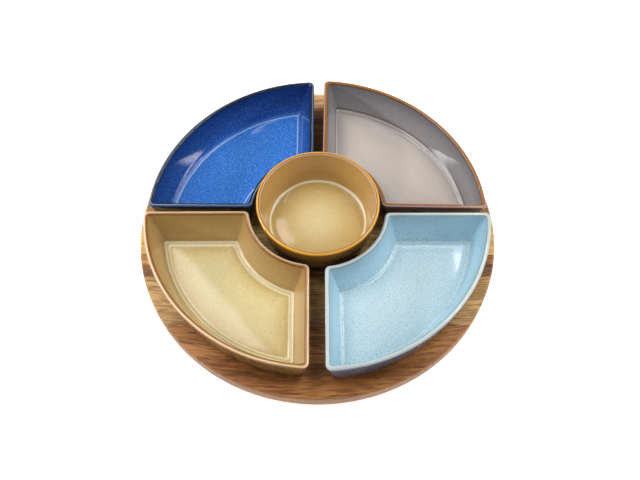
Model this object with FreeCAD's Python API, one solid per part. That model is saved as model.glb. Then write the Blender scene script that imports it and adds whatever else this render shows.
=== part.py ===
"""Chip and dip server: a wooden turntable that carries four quarter-ring dishes and a dip bowl.

Millimetres. +Z is up, +X is to the right and -Y is the front. The origin is on the table, under
the axis that the board turns about.
"""
import FreeCAD, Part
import math
import os

V = FreeCAD.Vector
UP = V(0, 0, 1)
DOWN = V(0, 0, -1)
CENTRE = V(0, 0, 0)

# Thickness of each layer, from the table up
FOOT_STANDOFF = 3.0
BASE_THICK = 10.0
BEARING_THICK = 8.0
BOARD_THICK = 16.0
BASE_Z = FOOT_STANDOFF
BEARING_Z = BASE_Z + BASE_THICK
BOARD_Z = BEARING_Z + BEARING_THICK
DISH_Z = BOARD_Z + BOARD_THICK

# Board: a disc glued up from staves that run left to right, front stave first
BOARD_R = 175.0
BOARD_ROUND = 2.5
BOARD_GLUE_LINES = [-141.0, -105.0, -53.5, -30.0, 14.0, 61.0, 103.0, 154.0]

# Base: a smaller disc of three staves
BASE_R = 100.0
BASE_ROUND = 2.0
BASE_GLUE_LINES = [-34.0, 31.0]
BASE_STAVE_NAMES = ["base_stave_front", "base_stave_middle", "base_stave_back"]

# Rubber feet, let into the base
FOOT_R = 8.0
FOOT_RECESS_R = 8.1
FOOT_RECESS_DEPTH = 1.5
FOOT_ROUND = 1.0
FOOT_CIRCLE_R = 84.0
FOOT_ANGLES = {
    "foot_back_right": 45.0,
    "foot_back_left": 135.0,
    "foot_front_left": 225.0,
    "foot_front_right": 315.0,
}

# Swivel bearing: two square stamped plates, the same shape up to the inner flange, with one ring
# of balls between them. Heights are from the bottom of the bearing.
PLATE_SIDE = 102.0
PLATE_CORNER_R = 8.0
SHEET = 1.2
STEP_R_OUT = 47.0
STEP_R_IN = 43.0
RACE_GAP = 0.8
RACE_R_IN = 29.0
BALL_R = 2.5
BALL_CIRCLE_R = 36.0
BALL_COUNT = 36
BALL_CLEARANCE = 0.15
GROOVE_SHEET = 1.0
FLANGE_R_IN = 27.2
FLANGE_R_OUT = 28.4
CURL_R_OUT = 31.0
CURL_THICK = 1.0
CURL_TOP = 7.0
BALL_Z = BEARING_THICK / 2
RACE_TOP = BALL_Z - RACE_GAP / 2
RACE_BOTTOM = RACE_TOP - SHEET

# Pan head wood screws and their holes
SCREW_CIRCLE_R = 62.0
SCREW_LENGTH = 9.5
SCREW_R = 1.75
SCREW_TIP = 2.5
HEAD_R = 3.6
HEAD_HEIGHT = 2.2
HEAD_ROUND = 1.2
DRIVE_WIDTH = 1.0
DRIVE_SPAN = 3.8
DRIVE_DEPTH = 1.3
PLATE_HOLE_R = 2.3
PILOT_HOLE_R = 1.8
PILOT_SPARE = 0.3
ACCESS_HOLE_R = 7.0
BOARD_SCREW_ANGLE = 45.0
BASE_SCREW_ANGLE = 0.0

# Quarter-ring dish: its rim lies between two circles about the board's axis, half a gap inside
# the quarter's straight sides. The wall leans in by an inset that grows towards the foot.
DISH_R_OUT = 162.0
DISH_R_IN = 61.3
DISH_HALF_GAP = 3.6
DISH_HEIGHT = 36.6
DISH_FLOOR = 3.6
DISH_FOOT_INSET = 5.0
DISH_LIP = 4.0
DISH_CAVITY_INSET = 15.2
DISH_RIM_ROUND = 1.75
DISH_FOOT_ROUND = 3.0
DISH_FLOOR_ROUND = 4.0
DISH_CORNERS = {"rim": 5.5, "foot": 8.5, "lip": 2.6, "floor": 5.0, "recess": 6.0}
DISH_RECESS_INSET = 14.0
DISH_RECESS_DEPTH = 0.8

# Where each dish stands: the quarter it fills, then how far off its true place it was put down
# (right, back, and turned about the board's axis)
DISH_PLACES = {
    "dish_grey": (0.0, 0.1, -0.2, -1.1),
    "dish_blue": (90.0, -0.5, -2.1, -0.4),
    "dish_harvest": (180.0, -3.6, 1.8, 0.2),
    "dish_light_blue": (270.0, 2.6, -0.1, 0.1),
}

# Dip bowl, turned, on a foot ring: points of its profile as (radius, height), and how far right
# and back of the board's middle it was put down
BOWL_HEIGHT = 48.7
BOWL_RIM_R = 58.5
BOWL_LIP = 3.6
BOWL_WAIST = (54.8, 28.0)
BOWL_HEEL = (53.0, 15.5)
BOWL_FOOT_TOP = (36.0, 8.0)
BOWL_FOOT_OUTER_R = 34.6
BOWL_FOOT_INNER_R = 31.2
BOWL_RECESS = (30.4, 8.2)
BOWL_FLOOR = (43.2, 13.5)
BOWL_TOE = (48.9, 19.5)
BOWL_INNER_WAIST = (51.0, 31.0)
BOWL_PLACE = (0.4, 0.6)


def on_circle(radius, degrees, z):
    """Point at an angle on a circle about the axis."""
    angle = math.radians(degrees)
    return V(radius * math.cos(angle), radius * math.sin(angle), z)


def quarter_points(radius, start, z):
    """Four points a quarter turn apart."""
    return [on_circle(radius, start + 90.0 * i, z) for i in range(4)]


def turned(edges):
    """Solid turned about the axis from the closed profile that the edges make."""
    return Part.Face(Part.Wire(edges)).revolve(CENTRE, UP, 360)


def segments(points):
    """Straight edges from each point to the next."""
    return [Part.LineSegment(a, b).toShape() for a, b in zip(points, points[1:])]


def arc(start, middle, end):
    """Arc edge through three points."""
    return Part.Arc(start, middle, end).toShape()


def rising_arc(level, end):
    """Arc that leaves a point horizontally and rises to an end point, in the XZ plane."""
    rise = end.z - level.z
    radius = ((end.x - level.x) ** 2 + rise ** 2) / (2 * rise)
    centre = V(level.x, 0, level.z + radius)
    middle = (level - centre) + (end - centre)
    middle.normalize()
    return arc(level, centre + middle * radius, end)


def profile(*pairs):
    """Points in the XZ plane from pairs of radius and height."""
    return [V(radius, 0, height) for radius, height in pairs]


def edges_at(shape, z):
    """Edges that lie wholly at one height."""
    level = 0.001
    return [e for e in shape.Edges if abs(e.BoundBox.ZMin - z) < level and abs(e.BoundBox.ZMax - z) < level]


def rounded_disc(radius, thickness, z, rounding):
    """Disc with both of its edges rounded."""
    disc = Part.makeCylinder(radius, thickness, V(0, 0, z))
    return disc.makeFillet(rounding, edges_at(disc, z) + edges_at(disc, z + thickness))


def cut_into_staves(disc, glue_lines, radius):
    """Pieces of a disc between its glue lines, front first."""
    lines = [-radius] + glue_lines + [radius]
    box = disc.BoundBox
    staves = []
    for near, far in zip(lines, lines[1:]):
        slab = Part.makeBox(2 * radius, far - near, box.ZLength, V(-radius, near, box.ZMin))
        staves.append(disc.common(slab).Solids[0])
    return staves


def board_staves():
    """Board with pilot holes in its underside for the upper plate's screws."""
    board = rounded_disc(BOARD_R, BOARD_THICK, BOARD_Z, BOARD_ROUND)
    depth = SCREW_LENGTH - SHEET + PILOT_SPARE
    for point in quarter_points(SCREW_CIRCLE_R, BOARD_SCREW_ANGLE, BOARD_Z):
        board = board.cut(Part.makeCylinder(PILOT_HOLE_R, depth, point, UP))
    staves = cut_into_staves(board, BOARD_GLUE_LINES, BOARD_R)
    return {"board_stave_%d" % number: stave for number, stave in enumerate(staves, 1)}


def base_staves():
    """Base with pilot holes on top, the screwdriver's access hole and the feet's recesses."""
    base = rounded_disc(BASE_R, BASE_THICK, BASE_Z, BASE_ROUND)
    depth = SCREW_LENGTH - SHEET + PILOT_SPARE
    for point in quarter_points(SCREW_CIRCLE_R, BASE_SCREW_ANGLE, BEARING_Z):
        base = base.cut(Part.makeCylinder(PILOT_HOLE_R, depth, point, DOWN))
    access = on_circle(SCREW_CIRCLE_R, BOARD_SCREW_ANGLE, BASE_Z)
    base = base.cut(Part.makeCylinder(ACCESS_HOLE_R, BASE_THICK, access))
    for angle in FOOT_ANGLES.values():
        seat = on_circle(FOOT_CIRCLE_R, angle, BASE_Z)
        base = base.cut(Part.makeCylinder(FOOT_RECESS_R, FOOT_RECESS_DEPTH, seat))
    staves = cut_into_staves(base, BASE_GLUE_LINES, BASE_R)
    return dict(zip(BASE_STAVE_NAMES, staves))


def foot(angle):
    """Rubber foot, from its recess down to the table."""
    pad = Part.makeCylinder(FOOT_R, FOOT_STANDOFF + FOOT_RECESS_DEPTH, on_circle(FOOT_CIRCLE_R, angle, 0))
    return pad.makeFillet(FOOT_ROUND, edges_at(pad, 0))


def plate(flange):
    """Stamped plate, lower way up: a flat square that steps up to a grooved race.

    The flange profile, if given, carries the race inwards and curls over the other plate.
    """
    half = PLATE_SIDE / 2
    square = Part.makeBox(PLATE_SIDE, PLATE_SIDE, SHEET, V(-half, -half, 0))
    uprights = [e for e in square.Edges if e.BoundBox.ZLength > SHEET / 2]
    square = square.makeFillet(PLATE_CORNER_R, uprights)
    for point in quarter_points(SCREW_CIRCLE_R, 45.0, 0):
        square = square.cut(Part.makeCylinder(PLATE_HOLE_R, SHEET, point))
    overlap = STEP_R_OUT + 1.0
    square = square.cut(Part.makeCylinder(overlap - 0.5, SHEET))
    outer_run = [(STEP_R_IN, RACE_BOTTOM), (STEP_R_OUT, 0), (overlap, 0), (overlap, SHEET),
                 (STEP_R_OUT, SHEET), (STEP_R_IN, RACE_TOP)]
    inner_run = flange or [(RACE_R_IN, RACE_TOP), (RACE_R_IN, RACE_BOTTOM)]
    outline = profile(*outer_run, *inner_run, outer_run[0])
    ring = turned(segments(outline))
    groove_r = BALL_R + BALL_CLEARANCE
    trough = Part.makeTorus(BALL_CIRCLE_R, groove_r + GROOVE_SHEET, V(0, 0, BALL_Z))
    below_race = Part.makeCylinder(STEP_R_IN, RACE_TOP)
    ring = ring.fuse(trough.common(below_race))
    ring = ring.cut(Part.makeTorus(BALL_CIRCLE_R, groove_r, V(0, 0, BALL_Z)))
    return square.fuse(ring).removeSplitter().Solids[0]


def lower_plate():
    """Plate on the base, turned so that its corners clear the upper plate's screws."""
    curl = [(FLANGE_R_OUT, RACE_TOP), (FLANGE_R_OUT, CURL_TOP - CURL_THICK),
            (CURL_R_OUT, CURL_TOP - CURL_THICK), (CURL_R_OUT, CURL_TOP),
            (FLANGE_R_IN, CURL_TOP), (FLANGE_R_IN, RACE_BOTTOM)]
    lower = plate(curl)
    lower.rotate(CENTRE, UP, BASE_SCREW_ANGLE - 45.0)
    lower.translate(V(0, 0, BEARING_Z))
    return lower


def upper_plate():
    """Plate under the board: the lower plate's race turned upside down, with no flange."""
    upper = plate(None)
    upper.rotate(V(0, 0, BALL_Z), V(1, 0, 0), 180)
    upper.rotate(CENTRE, UP, BOARD_SCREW_ANGLE - 45.0)
    upper.translate(V(0, 0, BEARING_Z))
    return upper


def balls():
    """Ring of balls between the two races."""
    step = 360.0 / BALL_COUNT
    places = [on_circle(BALL_CIRCLE_R, i * step, BEARING_Z + BALL_Z) for i in range(BALL_COUNT)]
    return Part.makeCompound([Part.makeSphere(BALL_R, place) for place in places])


def screw():
    """Pan head screw with a cross recess, pointing down, its head's seat at the origin."""
    head = Part.makeCylinder(HEAD_R, HEAD_HEIGHT)
    head = head.makeFillet(HEAD_ROUND, edges_at(head, HEAD_HEIGHT))
    for length, width in ((DRIVE_SPAN, DRIVE_WIDTH), (DRIVE_WIDTH, DRIVE_SPAN)):
        corner = V(-length / 2, -width / 2, HEAD_HEIGHT - DRIVE_DEPTH)
        head = head.cut(Part.makeBox(length, width, DRIVE_DEPTH, corner))
    shank_length = SCREW_LENGTH - SCREW_TIP
    shank = Part.makeCylinder(SCREW_R, shank_length, CENTRE, DOWN)
    tip = Part.makeCone(SCREW_R, 0, SCREW_TIP, V(0, 0, -shank_length), DOWN)
    return head.fuse([shank, tip]).removeSplitter().Solids[0]


def base_screws():
    """Screws down through the lower plate into the base."""
    group = []
    for point in quarter_points(SCREW_CIRCLE_R, BASE_SCREW_ANGLE, BEARING_Z + SHEET):
        fastener = screw()
        fastener.translate(point)
        group.append(fastener)
    return Part.makeCompound(group)


def board_screws():
    """Screws up through the upper plate into the board."""
    group = []
    for point in quarter_points(SCREW_CIRCLE_R, BOARD_SCREW_ANGLE, BOARD_Z - SHEET):
        fastener = screw()
        fastener.rotate(CENTRE, V(1, 0, 0), 180)
        fastener.translate(point)
        group.append(fastener)
    return Part.makeCompound(group)


def quarter_ring(inset, corner, z):
    """Outline of the dish in the +X +Y quarter, pulled in all round by an inset."""
    r_out = DISH_R_OUT - inset
    r_in = DISH_R_IN + inset
    side = DISH_HALF_GAP + inset
    far = math.sqrt((r_out - corner) ** 2 - (side + corner) ** 2)
    near = math.sqrt((r_in + corner) ** 2 - (side + corner) ** 2)
    centre_far = V(side + corner, far, z)
    centre_near = V(side + corner, near, z)
    flat = V(0, 0, z)

    def swapped(point):
        return V(point.y, point.x, point.z)

    def bisected(centre, direction):
        """Middle of the corner's arc, between the side and the point in a direction."""
        middle = V(-1, 0, 0) + V(direction)
        middle.normalize()
        return centre + middle * corner

    outward = (centre_far - flat).normalize()
    inward = (flat - centre_near).normalize()
    side_far = V(side, far, z)
    side_near = V(side, near, z)
    arc_far = centre_far + V(outward) * corner
    arc_near = centre_near + V(inward) * corner
    mid_far = bisected(centre_far, outward)
    mid_near = bisected(centre_near, inward)
    return Part.Wire([
        Part.LineSegment(side_near, side_far).toShape(),
        arc(side_far, mid_far, arc_far),
        arc(arc_far, on_circle(r_out, 45.0, z), swapped(arc_far)),
        arc(swapped(arc_far), swapped(mid_far), swapped(side_far)),
        Part.LineSegment(swapped(side_far), swapped(side_near)).toShape(),
        arc(swapped(side_near), swapped(mid_near), swapped(arc_near)),
        arc(swapped(arc_near), on_circle(r_in, 45.0, z), arc_near),
        arc(arc_near, mid_near, side_near),
    ])


def quarter_dish():
    """Dish in the +X +Y quarter, standing at height zero."""
    rim = quarter_ring(0, DISH_CORNERS["rim"], DISH_HEIGHT)
    heel = quarter_ring(DISH_FOOT_INSET, DISH_CORNERS["foot"], 0)
    body = Part.makeLoft([heel, rim], True, True)
    body = body.makeFillet(DISH_FOOT_ROUND, edges_at(body, 0))
    lip = quarter_ring(DISH_LIP, DISH_CORNERS["lip"], DISH_HEIGHT)
    floor = quarter_ring(DISH_CAVITY_INSET, DISH_CORNERS["floor"], DISH_FLOOR)
    cavity = Part.makeLoft([floor, lip], True, True)
    cavity = cavity.makeFillet(DISH_FLOOR_ROUND, edges_at(cavity, DISH_FLOOR))
    dish = body.cut(cavity)
    dish = dish.makeFillet(DISH_RIM_ROUND, edges_at(dish, DISH_HEIGHT))
    recess = Part.Face(quarter_ring(DISH_RECESS_INSET, DISH_CORNERS["recess"], 0))
    return dish.cut(recess.extrude(V(0, 0, DISH_RECESS_DEPTH)))


def dishes():
    """The four dishes, each as it was put down on the board."""
    made = {}
    for name, (quarter, right, back, turn) in DISH_PLACES.items():
        dish = quarter_dish()
        dish.rotate(CENTRE, UP, quarter + turn)
        dish.translate(V(right, back, DISH_Z))
        made[name] = dish
    return made


def bowl():
    """Dip bowl, turned, as it was put down on the board."""
    lip_r = BOWL_LIP / 2
    lip_centre = BOWL_RIM_R - lip_r
    shoulder = BOWL_HEIGHT - lip_r
    recess, recess_edge, foot_in, foot_out, foot_top = profile(
        (0, BOWL_RECESS[1]), BOWL_RECESS, (BOWL_FOOT_INNER_R, 0), (BOWL_FOOT_OUTER_R, 0), BOWL_FOOT_TOP)
    heel, waist, rim = profile(BOWL_HEEL, BOWL_WAIST, (BOWL_RIM_R, shoulder))
    crown, lip = profile((lip_centre, BOWL_HEIGHT), (lip_centre - lip_r, shoulder))
    inner_waist, toe, floor, middle = profile(BOWL_INNER_WAIST, BOWL_TOE, BOWL_FLOOR, (0, BOWL_FLOOR[1]))
    edges = segments([recess, recess_edge, foot_in, foot_out, foot_top])
    edges.append(rising_arc(foot_top, heel))
    edges.append(arc(heel, waist, rim))
    edges.append(arc(rim, crown, lip))
    edges.append(arc(lip, inner_waist, toe))
    edges.append(rising_arc(floor, toe))
    edges += segments([floor, middle, recess])
    made = turned(edges)
    right, back = BOWL_PLACE
    made.translate(V(right, back, DISH_Z))
    return made


def all_parts():
    """Every node's shape by name."""
    parts = {}
    parts.update(board_staves())
    parts.update(base_staves())
    parts.update({name: foot(angle) for name, angle in FOOT_ANGLES.items()})
    parts["bearing_lower_plate"] = lower_plate()
    parts["bearing_upper_plate"] = upper_plate()
    parts["bearing_balls"] = balls()
    parts["base_screws"] = base_screws()
    parts["board_screws"] = board_screws()
    parts.update(dishes())
    parts["dip_bowl"] = bowl()
    return parts


os.makedirs("parts", exist_ok=True)
for name, shape in all_parts().items():
    shape.exportStep("parts/%s.step" % name)
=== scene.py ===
"""Looks of the chip and dip server: a wooden turntable with four glazed dishes and a dip bowl.

Blender works in metres. Lengths named in millimetres are multiplied by MM where they are used.
"""
import math

import bmesh
import bpy
from mathutils import Matrix, Vector


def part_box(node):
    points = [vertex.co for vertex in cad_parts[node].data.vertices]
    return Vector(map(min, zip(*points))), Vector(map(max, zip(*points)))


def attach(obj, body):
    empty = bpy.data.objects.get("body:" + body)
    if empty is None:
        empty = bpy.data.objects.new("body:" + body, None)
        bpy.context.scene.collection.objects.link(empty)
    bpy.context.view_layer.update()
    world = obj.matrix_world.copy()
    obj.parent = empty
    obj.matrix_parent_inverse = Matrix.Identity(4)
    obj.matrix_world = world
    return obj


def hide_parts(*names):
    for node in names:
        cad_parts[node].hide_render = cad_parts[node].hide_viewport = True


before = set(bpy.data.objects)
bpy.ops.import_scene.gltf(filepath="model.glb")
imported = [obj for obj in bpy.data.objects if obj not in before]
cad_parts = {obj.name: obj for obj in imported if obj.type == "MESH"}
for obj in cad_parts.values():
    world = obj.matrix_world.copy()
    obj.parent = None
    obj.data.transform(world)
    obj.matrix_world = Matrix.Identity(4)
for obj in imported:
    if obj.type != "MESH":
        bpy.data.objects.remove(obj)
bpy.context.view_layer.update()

MM = 0.001

# Levels and sizes read off the frame
BOARD_STAVES = ["board_stave_%d" % number for number in range(1, 10)]
BASE_STAVES = ["base_stave_front", "base_stave_middle", "base_stave_back"]
DISH_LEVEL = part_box("dish_blue")[0].z
BOARD_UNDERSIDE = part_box("board_stave_5")[0].z
BOARD_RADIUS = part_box("board_stave_5")[1].x
BASE_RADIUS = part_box("base_stave_middle")[1].x

# Camera: far enough up and back to look down steeply into the dishes
CAMERA_ELEVATION = math.radians(59.56)
CAMERA_DISTANCE = 0.766
CAMERA_LENS = 42.63
CAMERA_SHIFT = (0.0040, -0.0053)

# Quarter-ring dish, in millimetres: rim circles, half the gap to the next dish, and the corners of
# the wall's section as (inset from the rim, height, rounding), floor first
DISH_R_OUT = 162.0
DISH_R_IN = 61.3
DISH_HALF_GAP = 3.6
DISH_DEEPEST_INSET = 44.0
DISH_SECTION = [
    (DISH_DEEPEST_INSET, 3.6, 0),
    (15.2, 3.6, 4.0),
    (4.0, 36.6, 1.7),
    (0.0, 36.6, 1.8),
    (5.0, 0.0, 3.0),
    (13.6, 0.0, 0.5),
    (14.2, 0.8, 0.5),
    (DISH_DEEPEST_INSET, 0.8, 0),
]
# Rounding of the dish's corners in plan against distance along the section from the rim's crest
DISH_PLAN_ROUNDING = [(-40.0, 8.5), (-3.0, 5.5), (3.0, 2.2), (33.0, 1.8), (70.0, 1.8)]

# How each dish was put down: the quarter turn it fills, then right, back and turn, off its place
DISH_PLACES = {
    "dish_grey": (0.0, 0.1, -0.2, -1.1),
    "dish_blue": (90.0, -0.5, -2.1, -0.4),
    "dish_harvest": (180.0, -3.6, 1.8, 0.2),
    "dish_light_blue": (270.0, 2.6, -0.1, 0.1),
}

# Dip bowl's section: corners as (radius, height, rounding), floor first, and how far right and back
# of the board's middle it was put down
BOWL_SECTION = [
    (0.5, 13.5, 0),
    (48.0, 13.5, 5.0),
    (50.7, 29.0, 60.0),
    (54.9, 48.7, 1.5),
    (58.5, 48.7, 1.6),
    (54.9, 28.0, 60.0),
    (52.6, 8.0, 12.0),
    (36.2, 8.0, 1.2),
    (34.8, 0.0, 1.2),
    (31.2, 0.0, 1.0),
    (30.2, 8.2, 1.5),
    (0.5, 8.2, 0),
]
BOWL_PLACE = (0.4, 0.6)
BOWL_SEGMENTS = 192

# Points along a dish's outline and round the bends of a section
SIDE_STEPS = 14
CORNER_STEPS = 8
OUTER_STEPS = 72
INNER_STEPS = 36
BEND_STEPS = 7
RUN_STEP = 4.0

# Staves: rounding of the board's edges, and how the glue lines show, in millimetres
BOARD_ROUND = 2.5
GLUE_GAP = 0.03
GLUE_CHAMFER = 0.15

# Glaze, in millimetres: how far its lines wander, how long a dish's wall is from crest to floor, and
# where the bare clay of the foot starts and ends, with how far that wanders. The wall shows a share
# of the floor's grain.
LINE_WANDER = 0.4
WALL_LENGTH = 36.0
WALL_GRAIN = 0.15
BARE_BELOW = 0.7
GLAZED_ABOVE = 1.0
FOOT_WANDER = 0.6

# Wood, in millimetres: how far its grain wanders sideways, and how far in from the disc's edge the
# paler, greyer edge starts and is full: partly greyed end grain, partly a painted sheen of the white
# surroundings. The base's staves take their seeds after the board's.
GRAIN_WANDER = 14.0
GREY_AND_SHEEN_STARTS = 1.6
GREY_AND_SHEEN_FULL = 0.6
FIRST_BASE_SEED = 20

# Studio: half the floor's width in metres, how brightly the paper glows, the surroundings' brightness
# at the horizon and overhead, and the soft lights (name, place, size, brightness, turn)
FLOOR_HALF_WIDTH = 3.0
PAPER_GLOW = 0.68
HORIZON_STRENGTH = 0.38
ZENITH_STRENGTH = 0.18
SOFTBOXES = [
    ("left_softbox", (-0.84, 0.50, 1.5), (1.2, 1.0), 3.7, -49.5),
    ("right_softbox", (0.62, 0.44, 1.5), (0.38, 0.7), 9.0, 0.0),
    ("left_side", (-1.05, 0.15, 0.48), (1.3, 0.06), 34.0, None),
    ("right_side", (1.05, 0.15, 0.48), (1.3, 0.06), 28.0, None),
    ("left_bar", (-0.50, 0.27, 1.5), (0.75, 0.05), 12.0, 0.0),
    ("right_bar", (0.50, 0.27, 1.5), (0.75, 0.05), 12.0, 0.0),
    ("front_fill", (0.0, -1.3, 0.8), (1.8, 0.5), 1.1, None),
    ("back_lamp", (-0.11, 0.85, 1.5), (0.045, 0.10), 4.5, 20.0),
]


# ---------------------------------------------------------------- mesh code

def rounded_section(corners):
    """Points along a section with its bends rounded and its long straight runs divided."""
    points = [Vector(corners[0][:2])]
    for before, corner, after in zip(corners, corners[1:], corners[2:]):
        bend = Vector(corner[:2])
        back = (Vector(before[:2]) - bend).normalized()
        ahead = (Vector(after[:2]) - bend).normalized()
        half = back.angle(ahead) / 2
        reach = corner[2] / math.tan(half)
        centre = bend + (back + ahead).normalized() * corner[2] / math.sin(half)
        start = bend + back * reach - centre
        sweep = start.angle_signed(bend + ahead * reach - centre)
        for step in range(BEND_STEPS + 1):
            turn = Matrix.Rotation(-sweep * step / BEND_STEPS, 2)
            points.append(centre + turn @ start)
    points.append(Vector(corners[-1][:2]))
    divided = [points[0]]
    for start, end in zip(points, points[1:]):
        pieces = max(1, round((end - start).length / RUN_STEP))
        divided += [start.lerp(end, step / pieces) for step in range(1, pieces + 1)]
    return divided


def from_crest(points):
    """Distance along a section from its highest point: positive inside, negative outside."""
    lengths = [0.0]
    for start, end in zip(points, points[1:]):
        lengths.append(lengths[-1] + (end - start).length)
    crest = max(range(len(points)), key=lambda i: points[i].y)
    return [lengths[crest] - length for length in lengths]


def interpolated(value, table):
    """Value read off a table of pairs, straight between its entries."""
    for (low, at_low), (high, at_high) in zip(table, table[1:]):
        if value <= high:
            share = max(0.0, (value - low) / (high - low))
            return at_low + share * (at_high - at_low)
    return table[-1][1]


def arc_points(centre, radius, start, end, steps):
    """Points on an arc between two angles in radians, without its last point."""
    angles = [start + (end - start) * step / steps for step in range(steps)]
    return [centre + radius * Vector((math.cos(a), math.sin(a))) for a in angles]


def quarter_loop(inset, rounding):
    """Outline of a dish in the +X +Y quarter, pulled in by an inset, in millimetres."""
    r_out = DISH_R_OUT - inset
    r_in = DISH_R_IN + inset
    side = DISH_HALF_GAP + inset
    far = math.sqrt((r_out - rounding) ** 2 - (side + rounding) ** 2)
    near = math.sqrt((r_in + rounding) ** 2 - (side + rounding) ** 2)
    far_angle = math.atan2(side + rounding, far)
    near_angle = math.atan2(side + rounding, near)
    right_angle = math.pi / 2
    middle = Vector((0, 0))
    across = [near + (far - near) * step / SIDE_STEPS for step in range(SIDE_STEPS + 1)]

    def corner(x, y, start, end):
        return arc_points(Vector((x, y)), rounding, start, end, CORNER_STEPS)

    loop = [Vector((x, side)) for x in across[:-1]]
    loop += corner(far, side + rounding, -right_angle, far_angle)
    loop += arc_points(middle, r_out, far_angle, right_angle - far_angle, OUTER_STEPS)
    loop += corner(side + rounding, far, right_angle - far_angle, 2 * right_angle)
    loop += [Vector((side, y)) for y in across[:0:-1]]
    loop += corner(side + rounding, near, 2 * right_angle, 3 * right_angle - near_angle)
    loop += arc_points(middle, r_in, right_angle - near_angle, near_angle, INNER_STEPS)
    loop += corner(near, side + rounding, near_angle - 2 * right_angle, -right_angle)
    return loop


def lofted(name, loops, values=None):
    """Closed smooth mesh through loops of points, with the values kept as the attribute "glaze"."""
    mesh = bpy.data.meshes.new(name)
    build = bmesh.new()
    rings = [[build.verts.new(point) for point in loop] for loop in loops]
    count = len(rings[0])
    for below, above in zip(rings, rings[1:]):
        for i in range(count):
            j = (i + 1) % count
            build.faces.new((below[i], below[j], above[j], above[i]))
    for end in (rings[0], rings[-1]):
        cap = build.faces.new(end)
        bmesh.ops.triangulate(build, faces=[cap])
    bmesh.ops.recalc_face_normals(build, faces=build.faces)
    build.to_mesh(mesh)
    build.free()
    mesh.shade_smooth()
    if values:
        attribute = mesh.attributes.new("glaze", "FLOAT", "POINT")
        attribute.data.foreach_set("value", [value for value in values for _ in range(count)])
    piece = bpy.data.objects.new(name, mesh)
    bpy.context.scene.collection.objects.link(piece)
    return piece


def stave_loop(radius, near, far, level):
    """Outline of a stave: the part of a disc between two glue lines, or the disc's own edge."""
    near = max(near, -radius)
    far = min(far, radius)
    low = math.asin(near / radius)
    high = math.asin(far / radius)
    outline = []
    for start, end in ((low, high), (math.pi - high, math.pi - low)):
        for step in range(OUTER_STEPS + 1):
            angle = start + (end - start) * step / OUTER_STEPS
            outline.append(Vector((radius * math.cos(angle), radius * math.sin(angle), level)))
    return outline


# ---------------------------------------------------------------- material code

def paint(red, green, blue):
    """Linear colour from red, green and blue out of 255 as a colour chart gives them."""
    def linear(value):
        share = value / 255
        return share / 12.92 if share <= 0.04045 else ((share + 0.055) / 1.055) ** 2.4
    return (linear(red), linear(green), linear(blue), 1.0)


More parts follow.
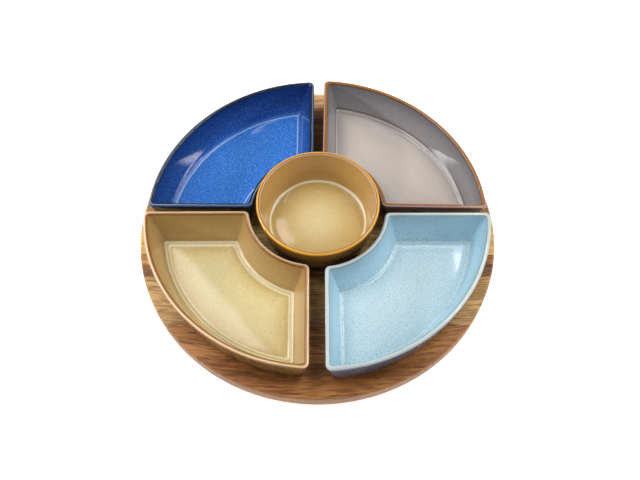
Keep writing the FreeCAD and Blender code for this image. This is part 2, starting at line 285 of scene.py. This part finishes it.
class Recipe:
    """Node material in the making. Each method adds a node and gives back its output."""

    def __init__(self, name):
        self.material = bpy.data.materials.new(name)
        self.material.use_nodes = True
        self.tree = self.material.node_tree
        self.shader = self.tree.nodes["Principled BSDF"]

    def feed(self, socket, value):
        """Links a socket to another node's output, or sets it to a plain value."""
        if isinstance(value, bpy.types.NodeSocket):
            self.tree.links.new(value, socket)
        else:
            socket.default_value = value

    def set(self, name, value):
        """Feeds one of the shader's own sockets."""
        self.feed(self.shader.inputs[name], value)

    def place(self, stretch=(1, 1, 1), shift=(0, 0, 0)):
        """The piece's own coordinates, in metres, shifted and stretched."""
        coordinates = self.tree.nodes.new("ShaderNodeTexCoord")
        mapping = self.tree.nodes.new("ShaderNodeMapping")
        mapping.inputs["Location"].default_value = shift
        mapping.inputs["Scale"].default_value = stretch
        self.tree.links.new(coordinates.outputs["Object"], mapping.inputs["Vector"])
        return mapping.outputs["Vector"]

    def stretch(self, place, factors, shift=(0, 0, 0)):
        """A place stretched along each axis."""
        mapping = self.tree.nodes.new("ShaderNodeMapping")
        self.feed(mapping.inputs["Vector"], place)
        mapping.inputs["Location"].default_value = shift
        mapping.inputs["Scale"].default_value = factors
        return mapping.outputs["Vector"]

    def split(self, place):
        """The place's X, Y and Z."""
        node = self.tree.nodes.new("ShaderNodeSeparateXYZ")
        self.feed(node.inputs["Vector"], place)
        return node.outputs["X"], node.outputs["Y"], node.outputs["Z"]

    def joined(self, x, y, z):
        """A place from its X, Y and Z."""
        node = self.tree.nodes.new("ShaderNodeCombineXYZ")
        for socket, value in zip(node.inputs, (x, y, z)):
            self.feed(socket, value)
        return node.outputs["Vector"]

    def noise(self, place, scale, detail=2.0, roughness=0.5):
        """Soft noise from 0 to 1, with about as many waves to the metre as its scale."""
        node = self.tree.nodes.new("ShaderNodeTexNoise")
        for name, value in (("Vector", place), ("Scale", scale), ("Detail", detail),
                            ("Roughness", roughness)):
            self.feed(node.inputs[name], value)
        return node.outputs["Fac"]

    def cells(self, place, scale):
        """Distance to the nearest of many scattered points, scale of them to the metre, and a random
        colour for each."""
        node = self.tree.nodes.new("ShaderNodeTexVoronoi")
        self.feed(node.inputs["Vector"], place)
        node.inputs["Scale"].default_value = scale
        return node.outputs["Distance"], node.outputs["Color"]

    def attribute(self, name):
        node = self.tree.nodes.new("ShaderNodeAttribute")
        node.attribute_name = name
        return node.outputs["Fac"]

    def calc(self, operation, first, second=0.0, third=0.0):
        node = self.tree.nodes.new("ShaderNodeMath")
        node.operation = operation
        for socket, value in zip(node.inputs, (first, second, third)):
            self.feed(socket, value)
        return node.outputs["Value"]

    def spread(self, value, low, high, to_low=0.0, to_high=1.0):
        """Value carried smoothly from one range to another, and held at its ends."""
        node = self.tree.nodes.new("ShaderNodeMapRange")
        node.interpolation_type = "SMOOTHSTEP"
        for name, part in (("Value", value), ("From Min", low), ("From Max", high),
                           ("To Min", to_low), ("To Max", to_high)):
            self.feed(node.inputs[name], part)
        return node.outputs["Result"]

    def ramp(self, value, stops):
        """Colour read off a row of (position, colour) stops over any range."""
        low, high = stops[0][0], stops[-1][0]
        share = self.calc("DIVIDE", self.calc("SUBTRACT", value, low), high - low)
        node = self.tree.nodes.new("ShaderNodeValToRGB")
        elements = node.color_ramp.elements
        for position, colour in stops[1:-1]:
            elements.new((position - low) / (high - low)).color = colour
        elements[0].color = stops[0][1]
        elements[-1].color = stops[-1][1]
        self.feed(node.inputs["Fac"], share)
        return node.outputs["Color"]

    def mix(self, share, first, second, blend="MIX"):
        node = self.tree.nodes.new("ShaderNodeMix")
        node.data_type = "RGBA"
        node.blend_type = blend
        colours = [socket for socket in node.inputs if socket.type == "RGBA"]
        self.feed(node.inputs["Factor"], share)
        self.feed(colours[0], first)
        self.feed(colours[1], second)
        return [socket for socket in node.outputs if socket.type == "RGBA"][0]

    def bump(self, height, depth, under=None):
        """Surface relief, up to a depth in metres, over any relief under it."""
        node = self.tree.nodes.new("ShaderNodeBump")
        node.inputs["Distance"].default_value = depth
        self.feed(node.inputs["Height"], height)
        if under:
            self.feed(node.inputs["Normal"], under)
        return node.outputs["Normal"]


CLAY = paint(176, 150, 120)
HEARTWOOD = paint(84, 46, 26)
PORE = paint(64, 36, 18)
# Tone at the disc's edge: partly greyed end grain, partly a painted sheen of the white surroundings
EDGE_GREY_AND_SHEEN = paint(130, 104, 76)


def glaze(name, stops, mottle, mottle_size, mottle_share, specks=None):
    """Reactive glaze whose colour follows the section from outside wall to floor.

    Stops are (millimetres from the rim's crest, colour). Besides the glaze's own colours they hold
    painted light: shade darkening the outside wall towards the foot, shade that partly makes the inner
    wall darker than the floor, and highlight lines along the lip and the floor's fillet. Mottle is a
    pair of colours for the fine grain, and specks a colour for scattered iron spots. The foot is bare
    clay.
    """
    recipe = Recipe(name)
    place = recipe.place()
    drift = recipe.noise(place, 55.0, detail=3.0)
    wander = recipe.calc("MULTIPLY_ADD", drift, 2 * LINE_WANDER, -LINE_WANDER)
    along = recipe.calc("ADD", recipe.attribute("glaze"), wander)
    colour = recipe.ramp(along, stops)
    cloud = recipe.noise(place, 22.0, detail=4.0, roughness=0.6)
    colour = recipe.mix(recipe.spread(cloud, 0.35, 0.7, 0.0, 0.22), colour, mottle[0], "SOFT_LIGHT")
    grain = recipe.noise(place, 1 / (mottle_size * MM), detail=2.5, roughness=0.65)
    on_floor = recipe.spread(along, 0.0, WALL_LENGTH, WALL_GRAIN, 1.0)
    light = recipe.calc("MULTIPLY", recipe.spread(grain, 0.50, 0.64, 0.0, mottle_share), on_floor)
    dark = recipe.calc("MULTIPLY", recipe.spread(grain, 0.50, 0.36, 0.0, mottle_share), on_floor)
    colour = recipe.mix(light, colour, mottle[0])
    colour = recipe.mix(dark, colour, mottle[1])
    if specks:
        distance, chance = recipe.cells(place, 150.0)
        rare = recipe.spread(chance, 0.66, 0.70)
        dot = recipe.calc("MULTIPLY", recipe.spread(distance, 0.10, 0.04, 0.0, 0.75), rare)
        colour = recipe.mix(dot, colour, specks)
    height = recipe.split(place)[2]
    foot = recipe.calc("MULTIPLY_ADD", drift, FOOT_WANDER * MM, height)
    bare = recipe.spread(foot, DISH_LEVEL + GLAZED_ABOVE * MM, DISH_LEVEL + BARE_BELOW * MM)
    colour = recipe.mix(bare, colour, CLAY)
    recipe.set("Base Color", colour)
    recipe.set("Roughness", recipe.spread(bare, 0.0, 1.0, 0.045, 0.8))
    recipe.shader.inputs["IOR"].default_value = 1.55
    waves = recipe.bump(recipe.noise(place, 45.0, detail=1.0), 0.05 * MM)
    ripple = recipe.bump(recipe.noise(place, 420.0, detail=2.0), 0.01 * MM, under=waves)
    recipe.set("Normal", ripple)
    return recipe.material


def acacia(name, light, dark, streaks, curve, seed, radius):
    """Oiled acacia with its grain along X.

    Streaks is how much of it is dark heartwood, curve how much its grain bows (1 / metres), and
    radius that of the disc, whose edge is paler and greyer: partly greyed end grain, partly a painted
    sheen.
    """
    recipe = Recipe(name)
    x, y, z = recipe.split(recipe.place())
    wander = recipe.noise(recipe.place((6, 6, 6), (seed, 0, 0)), 1.0, detail=1.0)
    bow = recipe.calc("MULTIPLY", recipe.calc("MULTIPLY", x, x), curve)
    bow = recipe.calc("MULTIPLY_ADD", wander, GRAIN_WANDER * MM, bow)
    grain = recipe.joined(x, recipe.calc("SUBTRACT", y, bow), z)
    shift = (0.37 * seed, 1.13 * seed, 0.71 * seed)

    def strands(along, across, detail=2.0):
        """Noise drawn out along the grain: how many strands to the metre along and across it."""
        return recipe.noise(recipe.stretch(grain, (along, across, across), shift), 1.0, detail, 0.6)

    slow = strands(8, 60, 3.0)
    figure = strands(24, 330, 3.0)
    fine = strands(90, 1000)
    tone = recipe.calc("MULTIPLY_ADD", figure, 0.6, recipe.calc("MULTIPLY", slow, 0.4))
    middle = [(a + b) / 2 for a, b in zip(light, dark)]
    colour = recipe.ramp(tone, [(0.38, dark), (0.5, middle), (0.60, light), (0.9, light)])
    heart = recipe.spread(slow, 0.42 + 0.16 * streaks, 0.36 + 0.16 * streaks, 0.0, 0.3 + 0.5 * streaks)
    colour = recipe.mix(heart, colour, HEARTWOOD)
    colour = recipe.mix(recipe.spread(strands(36, 480, 0.5), 0.56, 0.62, 0.0, 0.6), colour, dark)
    colour = recipe.mix(recipe.spread(strands(60, 700, 0.5), 0.59, 0.65, 0.0, 0.55), colour, PORE)
    colour = recipe.mix(recipe.spread(fine, 0.46, 0.36, 0.0, 0.35), colour, light)
    # Paler, greyer band at the disc's edge: partly greyed end grain, partly painted sheen
    reach = recipe.calc("SQRT", recipe.calc("MULTIPLY_ADD", x, x, recipe.calc("MULTIPLY", y, y)))
    edge = recipe.spread(
        reach, radius - GREY_AND_SHEEN_STARTS * MM, radius - GREY_AND_SHEEN_FULL * MM, 0.0, 0.5)
    colour = recipe.mix(edge, colour, EDGE_GREY_AND_SHEEN)
    recipe.set("Base Color", colour)
    recipe.set("Roughness", recipe.spread(fine, 0.3, 0.7, 0.42, 0.58))
    recipe.shader.inputs["Specular IOR Level"].default_value = 0.3
    recipe.set("Normal", recipe.bump(recipe.calc("SUBTRACT", 1.0, fine), 0.06 * MM))
    return recipe.material


def zinc(name, tint, roughness):
    """Zinc plated steel with faint spangle and rubbing."""
    recipe = Recipe(name)
    place = recipe.place()
    patch = recipe.noise(place, 90.0, detail=5.0, roughness=0.65)
    scratch = recipe.noise(recipe.place((60, 1500, 400)), 1.0, detail=2.0)
    shade = [part * 0.72 for part in tint[:3]] + [1.0]
    recipe.set("Base Color", recipe.mix(recipe.spread(patch, 0.3, 0.7), shade, tint))
    recipe.shader.inputs["Metallic"].default_value = 1.0
    recipe.set("Roughness", recipe.spread(patch, 0.3, 0.7, roughness, roughness + 0.14))
    recipe.set("Normal", recipe.bump(scratch, 0.03 * MM))
    return recipe.material


def rubber(name):
    """Matt black rubber with a moulded grain and a dusty bloom."""
    recipe = Recipe(name)
    place = recipe.place()
    bloom = recipe.noise(place, 130.0, detail=4.0)
    grain = recipe.noise(place, 2600.0, detail=2.0)
    dust = recipe.spread(bloom, 0.4, 0.75)
    recipe.set("Base Color", recipe.mix(dust, paint(24, 24, 25), paint(58, 57, 56)))
    recipe.set("Roughness", recipe.spread(bloom, 0.3, 0.7, 0.68, 0.85))
    recipe.set("Normal", recipe.bump(grain, 0.05 * MM))
    return recipe.material


def studio_paper(name):
    """White sweep that the server stands on."""
    recipe = Recipe(name)
    tooth = recipe.noise(recipe.place(), 400.0, detail=2.0)
    shade = recipe.spread(tooth, 0.3, 0.7)
    recipe.set("Base Color", recipe.mix(shade, paint(246, 246, 246), paint(250, 250, 250)))
    recipe.shader.inputs["Roughness"].default_value = 0.9
    recipe.shader.inputs["Specular IOR Level"].default_value = 0.1
    recipe.shader.inputs["Emission Color"].default_value = (1, 1, 1, 1)
    recipe.shader.inputs["Emission Strength"].default_value = PAPER_GLOW
    return recipe.material


GLAZES = {
    "dish_harvest": dict(
        stops=[
            # Outside wall: the glaze's own dark olive-brown, darkened towards the foot as painted
            # shade
            (-40.0, paint(64, 46, 22)),
            (-20.0, paint(92, 66, 32)),
            (-4.4, paint(110, 78, 40)),
            # Lip: dark and rust lines and a cream band that is partly the glaze's break, partly a
            # painted highlight
            (-3.7, paint(76, 40, 34)),
            (-3.0, paint(124, 60, 38)),
            (-2.4, paint(172, 98, 48)),
            (-2.0, paint(204, 170, 118)),
            (-1.5, paint(218, 202, 160)),
            (-0.9, paint(214, 196, 148)),
            (-0.4, paint(168, 130, 78)),
            (0.1, paint(160, 98, 46)),
            (0.9, paint(132, 76, 34)),
            (1.5, paint(100, 60, 34)),
            # Inner wall: browner and darker than the floor, partly thinner glaze and partly painted
            # shade
            (2.4, paint(152, 106, 56)),
            (3.4, paint(168, 134, 80)),
            (16.0, paint(176, 144, 90)),
            (29.0, paint(182, 152, 98)),
            # The two pale lines at the floor's fillet are painted highlights
            (34.2, paint(172, 142, 88)),
            (35.4, paint(238, 230, 200)),
            (36.4, paint(206, 188, 134)),
            (38.0, paint(196, 176, 118)),
            (39.2, paint(242, 234, 204)),
            (40.4, paint(194, 168, 110)),
            (45.0, paint(208, 188, 132)),
            (54.0, paint(222, 207, 154)),
            (66.0, paint(228, 214, 164)),
        ],
        mottle=(paint(240, 226, 182), paint(176, 144, 88)),
        mottle_size=1.0,
        mottle_share=0.26,
        specks=paint(96, 62, 34),
    ),
    "dish_light_blue": dict(
        stops=[
            # Outside wall: the glaze's own charcoal, darker towards the foot as painted shade
            (-40.0, paint(34, 38, 46)),
            (-20.0, paint(48, 55, 68)),
            (-5.4, paint(64, 73, 92)),
            # Lip: blue, cream and white lines, the palest partly the glaze's break and partly painted
            # highlights
            (-4.7, paint(60, 74, 100)),
            (-4.1, paint(104, 146, 190)),
            (-3.5, paint(126, 166, 202)),
            (-3.1, paint(28, 42, 82)),
            (-2.8, paint(40, 56, 94)),
            (-2.4, paint(172, 186, 190)),
            (-1.9, paint(196, 198, 184)),
            (-1.5, paint(142, 158, 168)),
            (-1.0, paint(198, 204, 198)),
            (-0.4, paint(166, 180, 188)),
            (0.2, paint(192, 202, 200)),
            (0.7, paint(176, 190, 194)),
            (1.2, paint(140, 136, 108)),
            (1.8, paint(124, 142, 146)),
            # Inner wall: darker than the floor, partly the glaze and partly painted shade
            (2.6, paint(142, 176, 192)),
            (16.0, paint(158, 194, 212)),
            (30.0, paint(162, 198, 214)),
            # The pale line at the floor's fillet is a painted highlight
            (33.4, paint(158, 194, 210)),
            (34.4, paint(212, 232, 238)),
            (35.4, paint(170, 204, 216)),
            (40.0, paint(182, 212, 222)),
            (48.0, paint(196, 222, 230)),
            (66.0, paint(204, 228, 234)),
        ],
        mottle=(paint(234, 246, 248), paint(112, 156, 180)),
        mottle_size=0.75,
        mottle_share=0.70,
    ),
    "dish_grey": dict(
        stops=[
            (-40.0, paint(62, 52, 54)),
            (-4.0, paint(88, 68, 70)),
            # Lip: mauve-brown outside, a pale lavender line that is a painted highlight, then amber
            # glaze
            (-3.0, paint(108, 80, 80)),
            (-2.2, paint(118, 88, 88)),
            (-1.8, paint(176, 156, 164)),
            (-1.3, paint(162, 138, 142)),
            (-0.9, paint(104, 60, 20)),
            (-0.3, paint(158, 100, 8)),
            (0.4, paint(138, 84, 4)),
            (0.9, paint(164, 106, 14)),
            (1.4, paint(120, 70, 8)),
            (1.8, paint(66, 42, 26)),
            # Inner wall: darker than the floor, partly the glaze and partly painted shade
            (2.3, paint(78, 70, 78)),
            (3.2, paint(108, 104, 110)),
            (14.0, paint(128, 126, 130)),
            (28.4, paint(140, 138, 141)),
            # A dark line and a white line at the floor's fillet are painted shade and a painted
            # highlight
            (31.0, paint(88, 80, 84)),
            (32.0, paint(168, 162, 162)),
            (33.0, paint(222, 216, 212)),
            (34.4, paint(156, 151, 150)),
            (38.9, paint(174, 166, 161)),
            (48.0, paint(196, 185, 176)),
            (66.0, paint(212, 200, 189)),
        ],
        mottle=(paint(226, 215, 205), paint(156, 148, 144)),
        mottle_size=1.2,
        mottle_share=0.18,
    ),
    "dish_blue": dict(
        stops=[
            (-40.0, paint(14, 16, 28)),
            (-4.2, paint(14, 18, 36)),
            (-3.3, paint(18, 40, 84)),
            (-2.5, paint(18, 48, 98)),
            (-1.7, paint(26, 68, 132)),
            (-1.2, paint(18, 36, 64)),
            # The pale line outside the crest is a painted highlight
            (-0.9, paint(158, 168, 172)),
            (-0.5, paint(60, 66, 66)),
            (-0.2, paint(14, 14, 10)),
            (1.7, paint(14, 14, 10)),
            # Inner wall: darker than the floor, partly the glaze and partly painted shade
            (2.3, paint(10, 22, 52)),
            (3.2, paint(11, 42, 102)),
            (20.0, paint(13, 50, 118)),
            (31.0, paint(20, 68, 148)),
            (35.0, paint(34, 94, 182)),
            (36.8, paint(38, 102, 190)),
            # The white line at the floor's fillet is a painted highlight
            (37.6, paint(206, 226, 246)),
            (38.4, paint(44, 112, 200)),
            (66.0, paint(44, 118, 206)),
        ],
        mottle=(paint(132, 188, 242), paint(14, 62, 154)),
        mottle_size=0.65,
        mottle_share=0.52,
    ),
}
GLAZES["dip_bowl"] = dict(GLAZES["dish_harvest"], mottle_share=0.16)
GLAZES["dip_bowl"]["stops"] = [
    # Outside wall: the glaze's own dark brown, darker towards the foot as painted shade
    (-50.0, paint(88, 62, 24)),
    (-8.0, paint(118, 84, 34)),
    # Lip: golden glaze break, with a pale gold line and a pinkish line inside that are painted
    # highlights
    (-3.4, paint(132, 84, 16)),
    (-2.6, paint(188, 124, 6)),
    (-1.4, paint(202, 142, 12)),
    (-0.7, paint(224, 178, 76)),
    (0.0, paint(190, 120, 12)),
    (0.5, paint(104, 54, 26)),
    (0.9, paint(128, 78, 50)),
    (1.3, paint(222, 194, 182)),
    (1.8, paint(194, 150, 110)),
    (2.8, paint(180, 140, 82)),
    (24.0, paint(180, 142, 82)),
    (32.0, paint(190, 154, 92)),
    (35.4, paint(188, 152, 90)),
    # The white ring at the floor's fillet is a painted highlight
    (36.3, paint(252, 244, 218)),
    (37.1, paint(246, 234, 200)),
    (38.2, paint(190, 160, 98)),
    (44.0, paint(198, 168, 106)),
    (54.0, paint(212, 186, 126)),
    (68.0, paint(232, 212, 156)),
    (84.0, paint(240, 224, 170)),
]

# Light and dark tones, share of dark heartwood and bow of the grain: the board's staves, front
# first, and the base
STAVE_WOODS = [
    (paint(190, 128, 68), paint(132, 78, 36), 0.10, 0.5),
    (paint(194, 132, 72), paint(136, 82, 40), 0.15, 0.5),
    (paint(214, 172, 108), paint(154, 110, 62), 0.08, 0.3),
    (paint(214, 148, 80), paint(112, 68, 46), 0.80, 0.2),
    (paint(236, 198, 126), paint(192, 144, 78), 0.05, -0.2),
    (paint(210, 158, 98), paint(146, 96, 54), 0.30, 0.3),
    (paint(184, 132, 80), paint(120, 76, 42), 0.35, -0.3),
    (paint(180, 130, 78), paint(116, 74, 42), 0.30, 0.2),
    (paint(226, 184, 126), paint(170, 124, 74), 0.10, 0.4),
]
BASE_WOOD = (paint(200, 152, 98), paint(140, 96, 56), 0.2, 0.4)


# ---------------------------------------------------------------- pieces

def make_dish(node):
    """Dish on its quarter of the board, in place of the plain one."""
    section = rounded_section(DISH_SECTION)
    along = from_crest(section)
    loops = []
    for (inset, height), distance in zip(section, along):
        outline = quarter_loop(inset, interpolated(distance, DISH_PLAN_ROUNDING))
        loops.append([Vector((x, y, height)) * MM for x, y in outline])
    dish = lofted(node + "_glazed", loops, along)
    quarter, right, back, turn = DISH_PLACES[node]
    place = Matrix.Translation(Vector((right * MM, back * MM, DISH_LEVEL)))
    dish.data.transform(place @ Matrix.Rotation(math.radians(quarter + turn), 4, "Z"))
    dish.data.materials.append(glaze(node + "_glaze", **GLAZES[node]))
    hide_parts(node)
    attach(dish, node)


def make_bowl():
    """Dip bowl in the middle, in place of the plain one."""
    section = rounded_section(BOWL_SECTION)
    loops = []
    for radius, height in section:
        circle = arc_points(Vector((0, 0)), radius, 0, 2 * math.pi, BOWL_SEGMENTS)
        loops.append([Vector((x, y, height)) * MM for x, y in circle])
    bowl = lofted("dip_bowl_glazed", loops, from_crest(section))
    right, back = BOWL_PLACE
    bowl.data.transform(Matrix.Translation(Vector((right * MM, back * MM, DISH_LEVEL))))
    bowl.data.materials.append(glaze("dip_bowl_glaze", **GLAZES["dip_bowl"]))
    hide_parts("dip_bowl")
    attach(bowl, "dip_bowl")


def make_board_stave(node, wood, seed):
    """One stave of the board, edges rounded and glue lines just showing."""
    low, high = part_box(node)
    rounding = BOARD_ROUND * MM
    loops = []
    for side, level in ((-1, low.z), (1, high.z)):
        rim = []
        for step in range(BEND_STEPS + 1):
            angle = math.radians(90 * step / BEND_STEPS)
            inset = rounding * (1 - math.sin(angle))
            height = level - side * rounding * (1 - math.cos(angle))
            chamfer = GLUE_CHAMFER * MM if step == 0 else GLUE_GAP * MM
            rim.append(stave_loop(BOARD_RADIUS - inset, low.y + chamfer, high.y - chamfer, height))
        loops += rim if side < 0 else rim[::-1]
    stave = lofted(node + "_wood", loops)
    stave.data.materials.append(acacia(node + "_acacia", *wood, seed, BOARD_RADIUS))
    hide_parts(node)
    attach(stave, "turntable")


def dress(node, material):
    """Gives a node from the frame a better material."""
    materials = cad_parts[node].data.materials
    materials.clear()
    materials.append(material)


def make_floor():
    """White paper that the server stands on."""
    build = bmesh.new()
    bmesh.ops.create_grid(build, x_segments=8, y_segments=8, size=FLOOR_HALF_WIDTH)
    sweep = bpy.data.meshes.new("studio_floor")
    build.to_mesh(sweep)
    build.free()
    floor = bpy.data.objects.new("studio_floor", sweep)
    bpy.context.scene.collection.objects.link(floor)
    floor.data.materials.append(studio_paper("studio_paper"))


def make_surroundings():
    """White surroundings, brighter at the horizon than overhead."""
    world = bpy.data.worlds.new("studio")
    world.use_nodes = True
    tree = world.node_tree
    direction = tree.nodes.new("ShaderNodeTexCoord")
    split = tree.nodes.new("ShaderNodeSeparateXYZ")
    fall = tree.nodes.new("ShaderNodeMapRange")
    fall.interpolation_type = "SMOOTHSTEP"
    fall.inputs["To Min"].default_value = HORIZON_STRENGTH
    fall.inputs["To Max"].default_value = ZENITH_STRENGTH
    tree.links.new(direction.outputs["Generated"], split.inputs["Vector"])
    tree.links.new(split.outputs["Z"], fall.inputs["Value"])
    tree.links.new(fall.outputs["Result"], tree.nodes["Background"].inputs["Strength"])
    tree.nodes["Background"].inputs["Color"].default_value = (1, 1, 1, 1)
    bpy.context.scene.world = world


def make_softbox(name, place, size, brightness, turn):
    """Rectangular soft light, facing down with a turn, or aimed at the server with none."""
    light = bpy.data.lights.new(name, "AREA")
    light.shape = "RECTANGLE"
    light.size, light.size_y = size
    light.energy = brightness * math.pi * size[0] * size[1]
    lamp = bpy.data.objects.new(name, light)
    bpy.context.scene.collection.objects.link(lamp)
    lamp.location = place
    if turn is None:
        lamp.rotation_euler = Vector(place).to_track_quat("Z", "Y").to_euler()
    else:
        lamp.rotation_euler = (0, 0, math.radians(turn))


def make_camera():
    """Camera in front of the server, looking down at it."""
    camera = bpy.data.objects.new("camera", bpy.data.cameras.new("camera"))
    bpy.context.scene.collection.objects.link(camera)
    aim = Vector((0, 0, BOARD_UNDERSIDE))
    away = Vector((0, -math.cos(CAMERA_ELEVATION), math.sin(CAMERA_ELEVATION)))
    camera.location = aim + away * CAMERA_DISTANCE
    camera.rotation_euler = away.to_track_quat("Z", "Y").to_euler()
    camera.data.lens = CAMERA_LENS
    camera.data.shift_x, camera.data.shift_y = CAMERA_SHIFT
    bpy.context.scene.camera = camera


for node in DISH_PLACES:
    make_dish(node)
make_bowl()
for number, (node, wood) in enumerate(zip(BOARD_STAVES, STAVE_WOODS), 1):
    make_board_stave(node, wood, number)
for number, node in enumerate(BASE_STAVES, FIRST_BASE_SEED):
    dress(node, acacia(node + "_acacia", *BASE_WOOD, number, BASE_RADIUS))
plate_zinc = zinc("plate_zinc", paint(196, 196, 192), 0.34)
dress("bearing_lower_plate", plate_zinc)
dress("bearing_upper_plate", plate_zinc)
dress("bearing_balls", zinc("ball_steel", paint(214, 214, 214), 0.12))
screw_zinc = zinc("screw_zinc", paint(206, 196, 160), 0.28)
dress("base_screws", screw_zinc)
dress("board_screws", screw_zinc)
foot_rubber = rubber("foot_rubber")
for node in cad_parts:
    if node.startswith("foot_"):
        dress(node, foot_rubber)
make_floor()
make_surroundings()
for settings in SOFTBOXES:
    make_softbox(*settings)
make_camera()
bpy.context.scene.view_settings.view_transform = "Standard"
